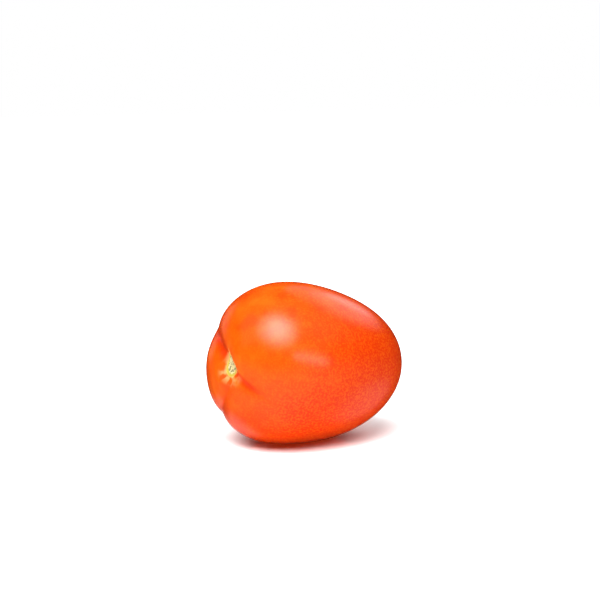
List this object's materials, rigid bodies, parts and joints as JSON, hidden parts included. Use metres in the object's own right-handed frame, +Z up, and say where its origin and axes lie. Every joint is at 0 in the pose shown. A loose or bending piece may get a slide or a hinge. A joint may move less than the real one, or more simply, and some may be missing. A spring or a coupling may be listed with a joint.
{
  "type": "plum tomato",
  "caption": "Ripe plum tomato lying on its side: a smooth egg-shaped fruit with a sunken stem scar and shallow grooves around its shoulder.",
  "frame": {"origin": "centre of the bounding box's underside, on the surface that the fruit lies on", "axes": "+X runs along the fruit from its stem end to its blossom end, +Z is up as it lies, +Y completes the right-handed frame"},
  "size_m": [0.0686, 0.0532, 0.0532],
  "materials": {
    "tomato_skin": "thin waxy ripe tomato skin, orange-red, satin gloss, with a cream corky stem scar"
  },
  "bodies": {
    "root": {"tomato": "tomato_skin"}
  },
  "joints": []
}
